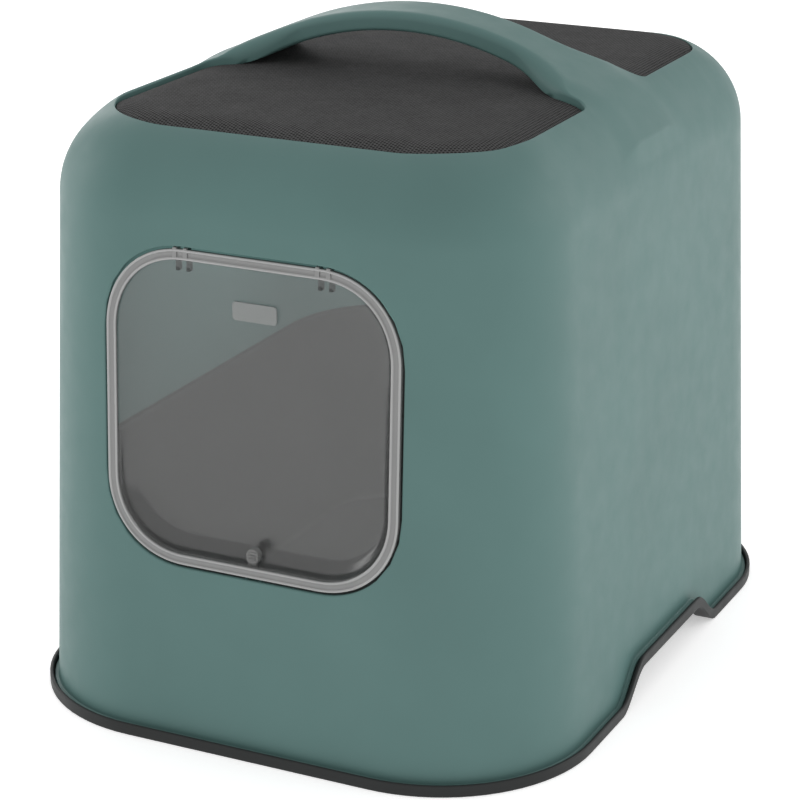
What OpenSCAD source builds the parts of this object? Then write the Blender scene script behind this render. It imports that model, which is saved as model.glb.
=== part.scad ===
// Hooded cat litter box: a double-walled tray, a lift-off hood with a moulded arch handle, a textured
// roof panel over a filter pad, and a clear flap that hangs on two pins and locks with a slider.
// Millimetres, +Z up. The origin is on the floor at the middle of the footprint; the flap faces -Y.

/* [Hood] */
// Width of the hood at floor level
hood_w = 380; // [360:5:420]
// Depth of the hood at floor level
hood_d = 498; // [480:5:540]
// Height of the flat roof above the floor
roof_top = 402; // [390:2:420]
// Radius of the hood's upright corners at floor level
base_corner = 102; // [98:2:110]
// Radius that rounds the walls into the roof
roof_fillet = 58.5; // [50:0.5:60]
// Lean of the walls, in degrees
draft = 2.47; // [1:0.01:3]
// Thickness of the hood's wall
wall = 3; // [2.4:0.1:3.2]

/* [Handle] */
// Height of the handle's crown above the floor
handle_top = 443; // [438:1:450]
// Thickness of the handle at its crown
handle_thick = 13; // [11:0.5:14]
// Radius of the arch on its upper side
handle_outer_radius = 240; // [236:1:244]
// Radius of the arch on its lower side
handle_inner_radius = 216; // [212:1:220]
// Half the handle's width at its middle
handle_half = 20; // [16:1:22]
// Half the handle's width where it meets the shoulders
foot_half = 46; // [40:1:50]

/* [Roof panel] */
// Width of the textured roof panel
panel_w = 284; // [280:2:292]
// Depth of the textured roof panel
panel_d = 396; // [390:2:410]
// Corner radius of the roof panel
panel_corner = 60; // [50:1:64]

/* [Tray] */
// Height of the tray's rim at its sides and back
rim_top = 155; // [145:1:160]
// Height of the tray's rim below the flap
entry_top = 112; // [100:1:113]
// Height of the lip round the tray's foot
lip_h = 8; // [6:0.5:9]
// Height of the hand-holds in the long sides
grip_rise = 22.5; // [18:0.5:26]

/* [Flap] */
// Width of the flap
flap_w = 206; // [196:1:208]
// Height of the flap
flap_h = 207; // [197:1:209]
// Height of the flap's centre above the floor
flap_z = 226.5; // [225:0.5:230]
// Corner radius of the flap
flap_corner = 56; // [52:1:60]
// Gap round the flap
flap_gap = 1.8; // [1.5:0.1:2.5]
// Width of the flap's frame
frame_w = 7; // [6:0.5:8]

/* [Hidden] */
$fn = 96;

arc_steps = 14;
curve_steps = 12;
lean = tan(draft);
core_x = hood_w / 2 - base_corner;
core_y = hood_d / 2 - base_corner;
far = 300;

// Hood
hood_seat = 3.2;
edge_flange_h = 2;
edge_flange_reach = 104.8;
roof_step = 4.2;
panel_sink = 1.5;
cavity_top = roof_top - wall - roof_step;

// Tray
tray_sheet = 2.5;
flange_h = 3;
lip_reach = 108;
lip_t = 2.5;
skirt_inset = wall + 2;
basin_reach_low = 58;
basin_reach_high = 83;
basin_foot_radius = 4;
entry_half = 104;
entry_ramp = 46;
entry_wall = 20;
grip_half = 52;
grip_ramp = 39;
grip_inner = 158;

// Handle and roof panel
foot_x = 136;
flare_x = 76;
handle_end = 152;
notch_x = 107;
panel_gap = 0.4;
foot_gap = 1.5;
notch_round = 6;

// Filter well under the roof panel
well_w = 150;
well_d = 190;
well_depth = 5;
vent_gaps = 8;
vent_w = 6;

// Flap, in its own plane: x across, y up the plane, z out of the hood's face
front_y = -hood_d / 2 + flap_z * lean;
core_u = flap_w / 2 - flap_corner;
core_v = flap_h / 2 - flap_corner;
frame_t = 2;
frame_lip_w = 2;
frame_lip_t = 3.2;
sheet = 1.8;
flange_back = frame_t + 1.6;
window_flange_reach = flap_corner - frame_lip_w - 0.3;
cup_side = 9;
cup_reach = flap_corner - cup_side;
cup_depth = 9.6;

// Hinge
hinge_x = 49.5;
pin_r = 1.2;
pin_play = 0.05;
axis_w = -2.3;
axis_v = flap_h / 2 - 3.2;
arm_pitch = 7.5;
arm_t = 3;
arm_play = 0.3;
knuckle_w = arm_pitch - arm_t - 2 * arm_play;
pin_length = arm_pitch + arm_t + 0.5;

// Slider at the foot of the flap; heights are measured up from the frame's lower edge
tongue_half = 3;
knob_half = 4.5;
tongue_foot = 0.6;
knob_foot = 8;
knob_head = 17;
slider_front = -4;
tongue_back = -6.2;
knob_back = -9;
keeper_top = -2.4;
keeper_foot = -9;
cheek = 2;
slide_play = 0.4;
slot_play = 0.7;
slot_h = 4.5;
bridge_foot = 2.3;
bridge_h = 1.7;
bridge_t = 1.6;
rib_pitch = 1.9;
rib_h = 0.8;
overlap = 0.5;

function smooth(u) = let (c = min(1, max(0, u))) c * c * (3 - 2 * c);
function arc(centre, radius, from, to, steps) = [
    for (i = [0:steps])
        let (a = from + (to - from) * i / steps)
        centre + radius * [cos(a), sin(a)]
];

// How far the wall stands out from the corner centres at height z, set inwards by inset
function reach(z, inset) = base_corner - inset / cos(draft) - z * lean;

// Height that the hand-hold lifts the foot of the side walls to, at y
function grip_lift(y) = grip_rise * smooth((grip_half + grip_ramp - abs(y)) / grip_ramp);

// Height of the tray's rim on its front wall, at x
function entry_edge(x) = entry_top + (rim_top - entry_top) * smooth((abs(x) - entry_half) / entry_ramp);

// Half the handle's width at x
function handle_side(x) = handle_half + (foot_half - handle_half) * smooth((abs(x) - flare_x) / (foot_x - flare_x));

// One wall of a rounded_sweep: the profile's x runs outwards and its y runs up
module side_run(out, half_length) {
    translate([out, half_length, 0])
        rotate([90, 0, 0])
            linear_extrude(2 * half_length)
                children();
}

// Carries a profile round a rounded rectangle whose corner centres are at (+-half_x, +-half_y)
module rounded_sweep(half_x, half_y) {
    for (turn = [0, 180]) {
        rotate(turn) side_run(half_x, half_y) children();
        rotate(turn + 90) side_run(half_y, half_x) children();
        rotate(turn) translate([half_x, half_y, 0]) rotate_extrude(angle = 90) children();
        rotate(turn + 90) translate([half_y, half_x, 0]) rotate_extrude(angle = 90) children();
    }
}

// Solid block with a rounded-rectangle outline
module rounded_block(half_x, half_y, corner, low, high) {
    rounded_sweep(half_x, half_y) translate([0, low]) square([corner, high - low]);
    translate([-half_x, -half_y, low]) cube([2 * half_x, 2 * half_y, high - low]);
}

// Solid with the hood's leaning walls and rounded top
module leaning_solid(inset, top, radius, low) {
    middle = top - radius;
    centre = [reach(middle, inset) - radius / cos(draft), middle];
    rounded_sweep(core_x, core_y)
        polygon(concat([[0, low], [reach(low, inset), low]], arc(centre, radius, draft, 90, arc_steps), [[0, top]]));
    translate([-core_x, -core_y, low]) cube([2 * core_x, 2 * core_y, top - low]);
}

// Band on both long sides that follows the hand-hold's curve, between two heights above it
module grip_band(from_x, to_x, low, high) {
    limit = grip_half + grip_ramp;
    ys = [for (i = [0:4 * curve_steps]) -limit + 2 * limit * i / (4 * curve_steps)];
    for (turn = [0, 180])
        rotate(turn)
            translate([from_x, 0, 0])
                rotate([90, 0, 90])
                    linear_extrude(to_x - from_x)
                        polygon(concat(
                            [for (y = ys) [y, grip_lift(y) + low]],
                            [for (i = [len(ys) - 1:-1:0]) [ys[i], grip_lift(ys[i]) + high]]
                        ));
}

// Everything below the hand-hold's curve, outside from_x
module grip_cut(from_x, above) {
    limit = grip_half + grip_ramp;
    ys = [for (i = [0:4 * curve_steps]) -limit + 2 * limit * i / (4 * curve_steps)];
    for (turn = [0, 180])
        rotate(turn)
            translate([from_x, 0, 0])
                rotate([90, 0, 90])
                    linear_extrude(far)
                        polygon(concat([[-limit, -1]], [for (y = ys) [y, grip_lift(y) + above]], [[limit, -1]]));
}

// Everything above the tray's front rim, lowered by drop
module entry_cut(drop) {
    end = entry_half + entry_ramp;
    ramp = [for (i = [0:curve_steps]) entry_half + entry_ramp * i / curve_steps];
    left = [for (i = [curve_steps:-1:0]) -ramp[i]];
    translate([0, entry_wall - core_y, 0])
        rotate([90, 0, 0])
            linear_extrude(far)
                polygon(concat(
                    [for (x = concat(left, ramp)) [x, entry_edge(x) - drop]],
                    [[end, far], [-end, far]]
                ));
}

module litter_tray() {
    skirt_top_radius = 5;
    slope = (basin_reach_high - basin_reach_low) / rim_top;
    skin = tray_sheet * sqrt(1 + slope * slope);
    void_top = rim_top - tray_sheet;
    color([0.19, 0.2, 0.2])
        difference() {
            union() {
                difference() {
                    union() {
                        leaning_solid(skirt_inset, rim_top, skirt_top_radius, 0);
                        rounded_block(core_x, core_y, lip_reach, 0, flange_h);
                        rounded_sweep(core_x, core_y) translate([lip_reach - lip_t, 0]) square([lip_t, lip_h]);
                    }
                    entry_cut(0);
                    grip_cut(grip_inner, 0);
                }
                grip_band(core_x + reach(grip_rise, skirt_inset) - 1, core_x + lip_reach, 0, flange_h);
                grip_band(core_x + lip_reach - lip_t, core_x + lip_reach, 0, lip_h);
            }
            // Basin
            rounded_sweep(core_x, core_y)
                polygon(concat(
                    [[0, far], [0, tray_sheet]],
                    arc([basin_reach_low - basin_foot_radius + slope, tray_sheet + basin_foot_radius],
                        basin_foot_radius, -90, 0, curve_steps / 2),
                    [[basin_reach_high, rim_top], [basin_reach_high, far]]
                ));
            translate([-core_x, -core_y, tray_sheet]) cube([2 * core_x, 2 * core_y, far]);
            // Hollow between the basin and the skirt, open at the floor
            difference() {
                rounded_sweep(core_x, core_y)
                    polygon([
                        [basin_reach_low + skin + slope, -1],
                        [reach(0, skirt_inset + tray_sheet), -1],
                        [reach(void_top, skirt_inset + tray_sheet), void_top],
                        [basin_reach_low + skin + slope * void_top, void_top]
                    ]);
                entry_cut(tray_sheet);
            }
        }
}

// Outline of the roof panel with its notches for the handle's feet, grown by grow
module panel_outline(grow) {
    side = panel_w / 2 + grow;
    end = panel_d / 2 + grow;
    corner = panel_corner + grow;
    notch = [for (i = [0:curve_steps]) notch_x + (foot_x - notch_x) * i / curve_steps];
    quarter = concat(
        [[notch_x, 0]],
        [for (x = notch) [x, handle_side(x) + foot_gap - grow]],
        arc([foot_x, foot_half + foot_gap + notch_round], notch_round + grow, -90, 0, curve_steps / 2),
        arc([side - corner, end - corner], corner, 0, 90, curve_steps)
    );
    half = concat(quarter, [for (i = [len(quarter) - 1:-1:0]) [-quarter[i][0], quarter[i][1]]]);
    polygon(concat(half, [for (i = [len(half) - 1:-1:0]) [half[i][0], -half[i][1]]]));
}

module handle() {
    upper = handle_top - handle_outer_radius;
    lower = handle_top - handle_thick - handle_inner_radius;
    xs = [for (i = [-4 * curve_steps:4 * curve_steps]) handle_end * i / (4 * curve_steps)];
    intersection() {
        rotate([90, 0, 0])
            translate([0, 0, -foot_half])
                linear_extrude(2 * foot_half)
                    difference() {
                        translate([0, upper]) circle(handle_outer_radius, $fn = 240);
                        translate([0, lower]) circle(handle_inner_radius, $fn = 240);
                    }
        translate([0, 0, cavity_top - wall])
            linear_extrude(far)
                polygon(concat(
                    [for (x = xs) [x, handle_side(x)]],
                    [for (i = [len(xs) - 1:-1:0]) [xs[i], -handle_side(xs[i])]]
                ));
    }
}

// Places a shape that is drawn in the flap's plane
module on_front() {
    translate([0, front_y, flap_z]) rotate([90 - draft, 0, 0]) children();
}

// Extrudes a shape drawn with x = distance behind the hinge axis and y = height above it
module hinge_slice(x, thick) {
    on_front()
        translate([x - thick / 2, axis_v, axis_w])
            rotate([0, 90, 0])
                linear_extrude(thick)
                    children();
}

// Gooseneck arm that carries a hinge pin behind the top edge of the doorway
module hinge_arm(x) {
    eye = 2.1;
    hinge_slice(x, arm_t)
        difference() {
            union() {
                circle(eye);
                polygon([[-1.2, 1.7], [0.5, 5.5], [0.5, 17], [4.2, 17], [4.2, 4], [1.7, -1.2]]);
            }
            circle(pin_r);
        }
}

// Pocket behind the sill that the slider drops into
module keeper() {
    height = keeper_top - keeper_foot;
    back = knob_back - slide_play;
    on_front()
        translate([0, -flap_h / 2 + keeper_foot, 0]) {
            for (side = [-1, 1])
                translate([side * (tongue_half + cheek) - cheek / 2, 0, back])
                    cube([cheek, height, overlap - wall - back]);
            translate([-tongue_half - 1.5 * cheek, 0, back]) cube([2 * tongue_half + 3 * cheek, height, cheek]);
        }
}

module hood_shell() {
    well_low = cavity_top - well_depth;
    vent_pitch = (well_w - 3 * vent_w) / vent_gaps;
    vent_d = well_d - 4 * vent_w;
    color([0.37, 0.47, 0.455])
        difference() {
            union() {
                difference() {
                    union() {
                        leaning_solid(0, roof_top, roof_fillet, hood_seat);
                        handle();
                        rounded_block(core_x, core_y, edge_flange_reach, hood_seat, hood_seat + edge_flange_h);
                    }
                    leaning_solid(wall, cavity_top, roof_fillet - wall, 0);
                    // Seat for the roof panel, one step below the outer surface
                    difference() {
                        translate([0, 0, cavity_top - 2 * roof_fillet])
                            linear_extrude(2 * roof_fillet + 2 * roof_step + 1)
                                panel_outline(panel_gap);
                        leaning_solid(roof_step, roof_top - roof_step, roof_fillet - roof_step, 0);
                    }
                    grip_cut(core_x, hood_seat);
                    // Doorway
                    on_front()
                        rounded_block(core_u, core_v, flap_corner + flap_gap, -wall - 6, 6);
                }
                grip_band(core_x + reach(grip_rise, wall), core_x + edge_flange_reach, hood_seat, hood_seat + edge_flange_h);
                for (side = [-1, 1], arm = [-1, 1]) hinge_arm(side * hinge_x + arm * arm_pitch / 2);
                keeper();
                // Box round the filter well
                translate([-well_w / 2 - wall, -well_d / 2 - wall, well_low - wall])
                    cube([well_w + 2 * wall, well_d + 2 * wall, well_depth + wall + 1]);
            }
            // Filter well and the vents in its floor
            translate([-well_w / 2, -well_d / 2, well_low])
                cube([well_w, well_d, well_depth + wall + roof_step]);
            for (i = [0:vent_gaps])
                translate([vent_pitch * (i - vent_gaps / 2) - vent_w / 2, -vent_d / 2, well_low - 2 * wall])
                    cube([vent_w, vent_d, 3 * wall]);
        }
}

module top_panel() {
    color([0.23, 0.23, 0.23])
        difference() {
            intersection() {
                leaning_solid(panel_sink, roof_top - panel_sink, roof_fillet - panel_sink, 0);
                translate([0, 0, cavity_top - 2 * roof_fillet])
                    linear_extrude(far)
                        panel_outline(0);
            }
            leaning_solid(roof_step, roof_top - roof_step, roof_fillet - roof_step, -1);
        }
}

module filter_pad() {
    play = 0.5;
    color([0.12, 0.12, 0.12])
        translate([-well_w / 2 + play, -well_d / 2 + play, cavity_top - well_depth])
            cube([well_w - 2 * play, well_d - 2 * play, well_depth + wall - play]);
}

module flap_frame() {
    inner = flap_corner - frame_w;
    slot_foot = axis_v - 2.6;
    color([0.62, 0.63, 0.63])
        difference() {
            union() {
                difference() {
                    on_front()
                        rounded_sweep(core_u, core_v)
                            polygon([
                                [inner, -frame_t], [inner, -0.5], [inner + 0.5, 0],
                                [flap_corner - 0.8, 0], [flap_corner, -0.8], [flap_corner, -frame_lip_t],
                                [flap_corner - frame_lip_w, -frame_lip_t], [flap_corner - frame_lip_w, -frame_t]
                            ]);
                    for (side = [-1, 1])
                        on_front()
                            translate([side * hinge_x - pin_length / 2, slot_foot, -2 * frame_t])
                                cube([pin_length, far, 4 * frame_t]);
                }
                // Knuckle, and the web that joins it to the frame's bar
                for (side = [-1, 1])
                    hinge_slice(side * hinge_x, knuckle_w) {
                        circle(-axis_w);
                        translate([axis_w, slot_foot - axis_v - overlap]) square([frame_t, overlap - slot_foot + axis_v]);
                    }
            }
            for (side = [-1, 1])
                hinge_slice(side * hinge_x, 2 * knuckle_w) circle(pin_r + pin_play);
        }
}

module flap_window() {
    rear = front_y + cup_depth;
    slot_half = knob_half + slot_play;
    cheek_x = tongue_half + slide_play;
    bridge_back = tongue_back - slide_play - bridge_t;
    color([0.4, 0.42, 0.42, 0.6])
        difference() {
            union() {
                // Flange behind the frame
                on_front()
                    rounded_sweep(core_u, core_v)
                        translate([cup_reach - sheet, -flange_back])
                            square([window_flange_reach - cup_reach + sheet, flange_back - frame_t]);
                // Recessed panel, upright when the flap is closed
                difference() {
                    intersection() {
                        on_front() rounded_block(core_u, core_v, cup_reach, -40, -frame_t);
                        translate([-far, rear + sheet - far, 0]) cube([2 * far, far, 2 * far]);
                    }
                    intersection() {
                        on_front() rounded_block(core_u, core_v, cup_reach - sheet, -40, 0);
                        translate([-far, rear - far, 0]) cube([2 * far, far, 2 * far]);
                    }
                }
                // Gussets under the hinges
                for (side = [-1, 1], arm = [-1, 1])
                    hinge_slice(side * hinge_x + arm * arm_pitch / 2, arm_t)
                        polygon([[1, -4.2], [4.6, -4.2], [8.5, -11], [4.5, -11], [4.5, -6], [1, -6]]);
                // Bridge that holds the slider
                on_front()
                    translate([0, -flap_h / 2 + bridge_foot, 0]) {
                        for (side = [-1, 1])
                            translate([side * (cheek_x + cheek / 2) - cheek / 2, 0, bridge_back])
                                cube([cheek, bridge_h, overlap - bridge_back - flange_back]);
                        translate([-cheek_x - cheek, 0, bridge_back]) cube([2 * (cheek_x + cheek), bridge_h, bridge_t]);
                    }
            }
            // Relief round the hinges
            for (side = [-1, 1])
                on_front()
                    translate([side * hinge_x - pin_length / 2 - 0.5, axis_v - 3, -20])
                        cube([pin_length + 1, far, 20]);
            // Slot that the slider's knob moves in
            on_front()
                translate([-slot_half, -flap_h / 2 + frame_w, knob_back - slot_play])
                    cube([2 * slot_half, slot_h, far]);
        }
}

module badge_plate() {
    badge_w = 31;
    badge_h = 12;
    badge_t = 0.8;
    badge_r = 2;
    badge_z = 294;
    color([0.5, 0.53, 0.52])
        translate([0, front_y + cup_depth, badge_z])
            rotate([90, 0, 0])
                rounded_block(badge_w / 2 - badge_r, badge_h / 2 - badge_r, badge_r, 0, badge_t);
}

module flap_latch() {
    color([0.6, 0.62, 0.62])
        on_front()
            translate([0, -flap_h / 2, 0]) {
                translate([-tongue_half, tongue_foot, tongue_back])
                    cube([2 * tongue_half, knob_foot - tongue_foot + 2, slider_front - tongue_back]);
                translate([0, 0, knob_back])
                    linear_extrude(slider_front - knob_back) {
                        translate([0, knob_foot + knob_half]) circle(knob_half);
                        translate([0, knob_head - knob_half]) circle(knob_half);
                    }
                for (i = [0:2])
                    translate([-knob_half / 2, knob_foot + knob_half + i * rib_pitch - rib_h / 2, slider_front - rib_h])
                        cube([knob_half, rib_h, 2 * rib_h]);
            }
}

module hinge_pin(x) {
    color([0.75, 0.76, 0.77])
        hinge_slice(x, pin_length) circle(pin_r);
}

module hinge_pin_left() {
    hinge_pin(-hinge_x);
}

module hinge_pin_right() {
    hinge_pin(hinge_x);
}

litter_tray();
hood_shell();
top_panel();
filter_pad();
flap_frame();
flap_window();
badge_plate();
flap_latch();
hinge_pin_left();
hinge_pin_right();
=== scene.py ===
"""Hooded cat litter box: visible pieces, materials and studio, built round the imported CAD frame.

Shapes are worked out in millimetres in the frame's axes (+Z up, the flap faces -Y) and turned into metres
when a mesh is made.
"""

import math

import bmesh
import bpy
import numpy as np
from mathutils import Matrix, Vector
from mathutils.geometry import delaunay_2d_cdt


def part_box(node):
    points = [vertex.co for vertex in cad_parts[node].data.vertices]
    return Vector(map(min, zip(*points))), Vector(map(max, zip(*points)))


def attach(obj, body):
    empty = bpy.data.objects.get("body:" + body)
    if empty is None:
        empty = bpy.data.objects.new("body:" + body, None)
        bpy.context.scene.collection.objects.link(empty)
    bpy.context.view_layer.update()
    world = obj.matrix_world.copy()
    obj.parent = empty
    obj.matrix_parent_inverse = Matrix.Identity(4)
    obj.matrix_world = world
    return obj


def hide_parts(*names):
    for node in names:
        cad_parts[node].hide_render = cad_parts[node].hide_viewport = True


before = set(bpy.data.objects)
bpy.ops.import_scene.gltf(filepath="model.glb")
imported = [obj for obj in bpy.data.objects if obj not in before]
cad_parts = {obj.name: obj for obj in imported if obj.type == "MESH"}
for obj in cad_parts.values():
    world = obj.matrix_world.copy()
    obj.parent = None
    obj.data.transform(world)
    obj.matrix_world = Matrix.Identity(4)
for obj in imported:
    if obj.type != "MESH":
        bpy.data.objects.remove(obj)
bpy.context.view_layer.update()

MM = 0.001
SHARP_ANGLE = 55

# ---------------------------------------------------------------- driving sizes, from the frame
flap_low, flap_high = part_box("flap_frame")
hood_low, hood_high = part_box("hood_shell")
tray_low, tray_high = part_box("litter_tray")

TRAY_W = (tray_high.x - tray_low.x) / MM
TRAY_D = (tray_high.y - tray_low.y) / MM
RIM_TOP = tray_high.z / MM
HANDLE_TOP = hood_high.z / MM
HOOD_FOOT = hood_low.z / MM
FLAP_W = (flap_high.x - flap_low.x) / MM

# ---------------------------------------------------------------- the hood's own numbers
LEAN = math.radians(2.47)
SLOPE = math.tan(LEAN)
LIP_REACH = 108.0
CORE_X = TRAY_W / 2 - LIP_REACH
CORE_Y = TRAY_D / 2 - LIP_REACH
FOOT_REACH = 102.0
ROOF_TOP = 402.0
FILLET = 58.5
FILLET_Z = ROOF_TOP - FILLET
FILLET_REACH = FOOT_REACH - FILLET_Z * SLOPE - FILLET / math.cos(LEAN)
WALL = 3.0
SEAT = 4.2
HOOD_FLANGE = 104.6
FLANGE_INNER = 101.0
WELL_W = 150.0
WELL_D = 190.0
WELL_DEPTH = 5.0
VENT_GAPS = 8
VENT_W = 6.0

# ---------------------------------------------------------------- the handle and the roof panel

HANDLE_THICK = 13.0
ARCH_OUTER = 240.0
ARCH_INNER = 216.0
HANDLE_HALF = 21.5
FOOT_HALF = 44.0
FLARE_X = 76.0
FOOT_X = 133.0
TIP_ROUND = 9.0
CREST_X = 92.0
LAND_X = 104.0
LAND_EASE = 250.0
RAIL_BLEND = 12.0
SPAN_X = 116.0
FOOT_GAP = 0.25
FOOT_SLOPE = 70.0
HANDLE_START = 1.2

PANEL_HALF_X = 142.0
PANEL_HALF_Y = 198.0
PANEL_CORNER = 62.0
PANEL_SINK = 1.0
PANEL_GAP = 0.5
PANEL_ROUND = 0.9
NOTCH_X = 114.0
RAIL_RISE = 3.8
RAIL_INNER = 112.0
RAIL_RUN = 28.0
RAIL_END = 176.0
RAIL_EASE = 40.0

# ---------------------------------------------------------------- the flap, its doorway and its hinges
FLAP_Z = 226.5
FLAP_CORNER = 56.0
CORNER_POWER = 2.12
FLAP_GAP = 1.6
DOOR_ROUND = 1.0
SHEET = 1.8
FRONT_Y = -(CORE_Y + FOOT_REACH) + FLAP_Z * SLOPE
CORE_U = FLAP_W / 2 - FLAP_CORNER
CORE_V = CORE_U + 0.5
HINGE_X = 49.5
ARM_PITCH = 7.5
AXIS_V = CORE_V + FLAP_CORNER - 3.2
AXIS_W = -2.3
ARM_THICK = 3.0
ARM_EDGE = 0.35
EYE_ROUND = 1.4
RELIEF_HALF = 10.0
RELIEF_DROP = 3.2
GUSSET_H = 7.4
PANEL_FACE = FRONT_Y + 9.6
PLATE_W = 31.0
PLATE_H = 12.0
PLATE_Z = 294.0
KNOB_W = 9.0
KNOB_H = 10.6
KNOB_RISE = 12.6
TONGUE_W = 6.0
TONGUE_H = 10.3
TONGUE_RISE = 5.25

# Frame section, as (inset from the flap's edge, height over the hood's face)
# Frame faces standing higher than this over the hood's face are the bead tops, painted lighter as a
# highlight
BEAD_HIGHLIGHT_FOOT = -0.62
FRAME_PROFILE = [
    (0.0, -3.2), (0.0, -1.2), (0.1, -0.6), (0.45, -0.2), (0.95, 0.0), (1.45, -0.2), (1.8, -0.6),
    (2.1, -1.0), (3.5, -1.1), (4.9, -1.0), (5.2, -0.6), (5.55, -0.2), (6.05, 0.0), (6.55, -0.2),
    (6.9, -0.6), (7.0, -1.2), (7.0, -2.0), (2.3, -2.0), (2.0, -2.3), (2.0, -3.2),
]
# Pane section, as (inset from the flap's edge, share of the dish's depth, height at no depth)
WINDOW_PROFILE = [
    (2.4, 0.0, -2.1), (6.4, 0.0, -2.1), (7.2, 0.06, -2.1), (7.6, 0.16, -1.4), (8.2, 0.34, -0.6),
    (9.0, 0.5, 0.0), (10.0, 0.6, 0.0), (11.2, 0.68, 0.0), (12.6, 0.78, 0.0), (14.0, 0.87, 0.0),
    (15.6, 0.945, 0.0), (17.4, 0.985, 0.0), (19.5, 1.0, 0.0),
]

# ---------------------------------------------------------------- the tray
TRAY_SHEET = 2.5
SKIRT_INSET = 5.0
BASIN_LOW = 58.0
BASIN_HIGH = 83.0
BASIN_ROUND = 4.0
RIM_ROUND = 2.4
ENTRY_TOP = 112.0
ENTRY_REACH = 92.0
ENTRY_HALF = 104.0
ENTRY_RUN = 46.0
GRIP_RISE = 22.5
GRIP_HALF = 91.0
GRIP_RUN = 39.0
FLANGE_H = 3.0
LIP_H = 8.0
LIP_THICK = 2.5
LIP_ROUND = 1.0


def smooth(u):
    """Eases from 0 to 1 as u goes from 0 to 1."""
    c = np.clip(u, 0.0, 1.0)
    return c * c * (3.0 - 2.0 * c)


# ---------------------------------------------------------------- mesh tools
class Shape:
    """Gathers patches of vertices and faces, in millimetres, and makes one object of them."""

    def __init__(self):
        self.verts = []
        self.faces = []
        self.paint = 0
        self.paints = []

    def add(self, points, faces):
        """Adds points (n, 3) and faces that index them."""
        start = len(self.verts)
        self.verts.extend(np.asarray(points, float).reshape(-1, 3).tolist())
        self.faces.extend([tuple(start + i for i in face) for face in faces])
        self.paints.extend([self.paint] * len(faces))

    def grid(self, points, wrap=False, flip=False):
        """Adds a grid of points (rows, columns, 3) as quads; wrap closes each row."""
        points = np.asarray(points, float)
        rows, cols = points.shape[:2]
        last = cols if wrap else cols - 1
        faces = []
        for r in range(rows - 1):
            for c in range(last):
                d = (c + 1) % cols
                face = (r * cols + c, r * cols + d, (r + 1) * cols + d, (r + 1) * cols + c)
                faces.append(face[::-1] if flip else face)
        self.add(points, faces)

    def fill(self, loop, place, spacing, holes=(), flip=False, margin=0.6):
        """Triangulates the flat outline loop (n, 2), less its holes, and maps its points with place."""
        loops = [np.asarray(loop, float)] + [np.asarray(h, float) for h in holes]
        low, high = loops[0].min(0), loops[0].max(0)
        step = spacing * math.sqrt(3) / 2
        rows = int((high[1] - low[1]) / step) + 1
        cols = int((high[0] - low[0]) / spacing) + 2
        grid = np.array([
            (low[0] + (c + 0.3 + 0.5 * (r % 2)) * spacing, low[1] + (r + 0.5) * step)
            for r in range(rows) for c in range(cols)
        ])
        edge = np.concatenate(loops)
        grid = grid[inside(grid, loops[0])]
        for hole in loops[1:]:
            grid = grid[~inside(grid, hole)]
        keep = np.array([np.min(np.hypot(*(edge - p).T)) > margin * spacing for p in grid], bool)
        flat = np.concatenate([edge, grid[keep]]) if len(grid) else edge
        edges, at = [], 0
        for one in loops:
            edges += [(at + i, at + (i + 1) % len(one)) for i in range(len(one))]
            at += len(one)
        made = delaunay_2d_cdt([Vector(p) for p in flat], edges, [], 0, 1e-6)
        flat, tris = np.array([tuple(p) for p in made[0]]), made[2]
        centres = np.array([flat[list(t)].mean(0) for t in tris])
        good = inside(centres, loops[0])
        for hole in loops[1:]:
            good &= ~inside(centres, hole)
        tris = [t[::-1] if flip else t for t, g in zip(tris, good) if g]
        self.add(place(flat), tris)

    def cap(self, ring):
        """Closes a ring of points (n, 3) with one flat face."""
        self.add(ring, [tuple(range(len(ring)))])

    def build(self, name, weld=2e-5, weighted=True):
        mesh = bpy.data.meshes.new(name)
        mesh.from_pydata((np.array(self.verts) * MM).tolist(), [], self.faces)
        mesh.polygons.foreach_set("material_index", self.paints)
        bm = bmesh.new()
        bm.from_mesh(mesh)
        bmesh.ops.remove_doubles(bm, verts=bm.verts, dist=weld)
        bmesh.ops.dissolve_degenerate(bm, edges=bm.edges, dist=1e-7)
        bmesh.ops.recalc_face_normals(bm, faces=bm.faces)
        bm.to_mesh(mesh)
        bm.free()
        mesh.polygons.foreach_set("use_smooth", [True] * len(mesh.polygons))
        mesh.set_sharp_from_angle(angle=math.radians(SHARP_ANGLE))
        obj = bpy.data.objects.new(name, mesh)
        bpy.context.scene.collection.objects.link(obj)
        if weighted:
            shade = obj.modifiers.new("Weighted", "WEIGHTED_NORMAL")
            shade.weight = 90
            shade.keep_sharp = True
        return obj


def inside(points, loop):
    """Which flat points lie inside the closed loop."""
    x, y = points[:, 0], points[:, 1]
    hit = np.zeros(len(points), bool)
    for (x0, y0), (x1, y1) in zip(loop, np.roll(loop, -1, 0)):
        cross = (y0 > y) != (y1 > y)
        with np.errstate(divide="ignore", invalid="ignore"):
            at = x0 + (y - y0) * (x1 - x0) / (y1 - y0)
        hit ^= cross & (x < at)
    return hit


def rounding(steps):
    """Angles of a quarter round, from 0 to 90 degrees."""
    return np.linspace(0.0, math.pi / 2, steps + 1)


# ---------------------------------------------------------------- plan of the hood and the tray
def spread(low, high, step):
    """Evenly spaced values from low up to but not including high."""
    count = max(1, int(round((high - low) / step)))
    return [low + (high - low) * i / count for i in range(count)]


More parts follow.
